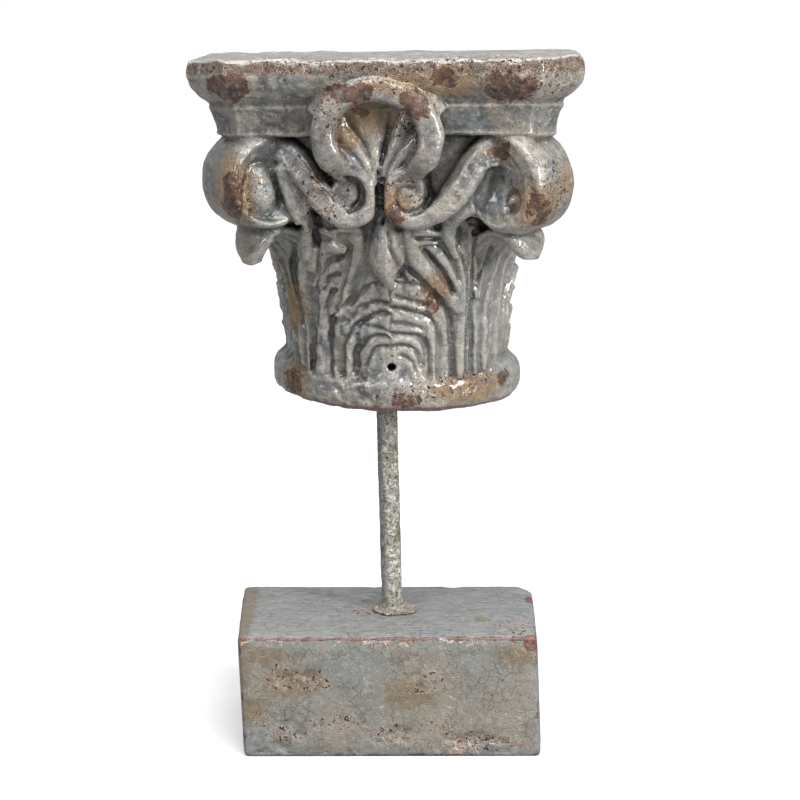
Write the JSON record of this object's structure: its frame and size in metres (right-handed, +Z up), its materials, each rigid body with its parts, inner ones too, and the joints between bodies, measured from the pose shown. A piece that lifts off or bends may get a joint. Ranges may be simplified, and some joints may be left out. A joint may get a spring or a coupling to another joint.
{
  "type": "column capital on a rod",
  "caption": "Half-round Corinthian capital of worn, crackled glazed terracotta with corner volutes, leaves and a flat back, carried by a metal rod on a rectangular block.",
  "frame": {"origin": "middle of the base block's underside, on the surface that the part stands on", "axes": "+Z up along the height, front towards -Y, +X to the right seen from the front"},
  "size_m": [0.2222, 0.1248, 0.4095],
  "materials": {
    "block_glaze": "worn, crackled grey-buff glaze over red clay",
    "grout": "rough pale grout",
    "rod_metal": "dull, weathered",
    "capital_glaze": "worn, pitted and crackled blue-grey glaze over brown and ochre clay"
  },
  "bodies": {
    "root": {"base_block": "block_glaze", "grout_collar": "grout", "rod": "rod_metal", "capital": "capital_glaze"}
  },
  "joints": []
}
